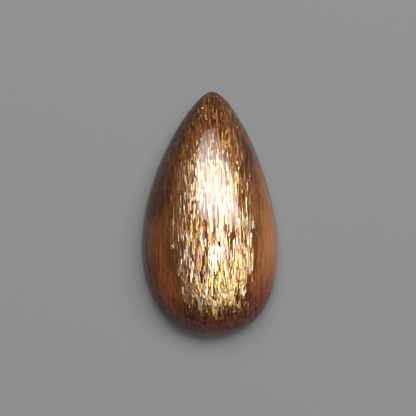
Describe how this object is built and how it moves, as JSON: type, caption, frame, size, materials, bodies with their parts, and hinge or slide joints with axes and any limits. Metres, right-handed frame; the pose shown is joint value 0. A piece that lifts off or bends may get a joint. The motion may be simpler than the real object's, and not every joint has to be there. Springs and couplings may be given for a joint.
{
  "type": "sunstone cabochon",
  "caption": "Pear-shaped polished sunstone cabochon with a high dome, a thin girdle and a flat back, for setting in jewellery.",
  "frame": {"origin": "middle of the stone's box in plan, on the flat back", "axes": "+Z out of the dome, +Y along the stone towards the point of the pear, +X across it"},
  "size_m": [0.0138, 0.025, 0.0066],
  "materials": {
    "polished_sunstone": "clear high polish over coppery brown, with metallic golden glitter inside; the flat back is ground matt"
  },
  "bodies": {
    "root": {"sunstone_cabochon": "polished_sunstone"}
  },
  "joints": []
}
